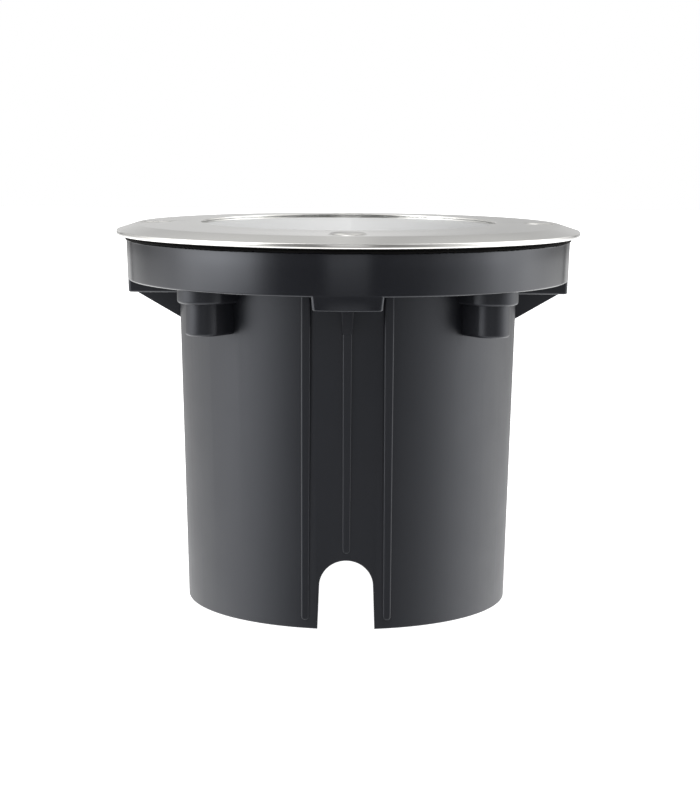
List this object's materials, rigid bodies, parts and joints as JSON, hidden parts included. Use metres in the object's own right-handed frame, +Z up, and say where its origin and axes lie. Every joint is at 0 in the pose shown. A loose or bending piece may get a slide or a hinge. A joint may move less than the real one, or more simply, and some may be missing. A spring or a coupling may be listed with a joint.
{
  "type": "recessed in-ground light",
  "caption": "Round in-ground uplight: moulded mounting pot, cast lamp housing, stainless trim ring with thick glass, and a reflector lamp in a turning and tilting gimbal.",
  "frame": {"origin": "centre of the mounting pot's lower rim, on the plane it stands on", "axes": "+Z up along the pot's axis, towards the trim ring; -Y is the pictured front with a cable notch; +X is to the right of it"},
  "size_m": [0.23, 0.23, 0.1882],
  "materials": {
    "pot_plastic": "satin moulded plastic",
    "brass": "turned",
    "housing_aluminium": "plain die-cast",
    "ring_steel": "brushed, with a polished edge",
    "screw_steel": "plain stainless",
    "gimbal_steel": "zinc plated",
    "wire_steel": "spring wire",
    "foam_rubber": "closed-cell foam",
    "silicone": "moulded silicone",
    "gland_rubber": "moulded rubber",
    "cover_glass": "clear toughened glass",
    "gland_plastic": "moulded nylon",
    "block_plastic": "moulded polyamide",
    "reflector_aluminium": "bright inside, satin outside",
    "lamp_glass": "clear",
    "ceramic": "unglazed steatite",
    "lead_silicone": "silicone insulation"
  },
  "bodies": {
    "pot": {"mounting_pot": "pot_plastic", "pot_inserts": "brass"},
    "luminaire": {"lamp_housing": "housing_aluminium", "housing_screws": "screw_steel", "housing_washers": "screw_steel", "gland_bodies": "gland_plastic", "gland_locknuts": "gland_plastic", "gland_seals": "gland_rubber", "gland_caps": "gland_plastic", "blanking_pin": "gland_plastic", "terminal_block": "block_plastic", "terminal_screws": "screw_steel", "terminal_fixings": "screw_steel", "earth_washer": "brass", "earth_screw": "brass", "snap_ring": "wire_steel"},
    "gimbal": {"pan_ring": "gimbal_steel", "pivot_screws": "screw_steel"},
    "lamp": {"cradle_ring": "gimbal_steel", "pivot_spacers": "screw_steel", "lamp_clip": "wire_steel", "lamp_reflector": "reflector_aluminium", "lamp_lens": "lamp_glass", "lamp_capsule": "lamp_glass", "lamp_base": "ceramic", "lamp_pins": "brass", "lampholder": "ceramic", "lampholder_screws": "screw_steel", "lamp_leads": "lead_silicone"},
    "cover": {"trim_ring": "ring_steel", "cover_glass": "cover_glass", "glass_gasket": "silicone", "ring_gasket": "foam_rubber", "trim_screws": "screw_steel"}
  },
  "joints": [
    {"name": "housing_lift", "type": "slide", "parent": "pot", "child": "luminaire", "axis": [0, 0, 1], "range_m": [0, 0.16]},
    {"name": "cover_lift", "type": "slide", "parent": "luminaire", "child": "cover", "axis": [0, 0, 1], "range_m": [0, 0.06]},
    {"name": "lamp_pan", "type": "hinge", "parent": "luminaire", "child": "gimbal", "pos_m": [0, 0, 0.134], "axis": [0, 0, 1], "range_deg": [-175, 175], "deforming": ["lamp_leads"]},
    {"name": "lamp_tilt", "type": "hinge", "parent": "gimbal", "child": "lamp", "pos_m": [0, 0, 0.143], "axis": [1, 0, 0], "range_deg": [-15, 15], "deforming": ["lamp_leads"]}
  ]
}
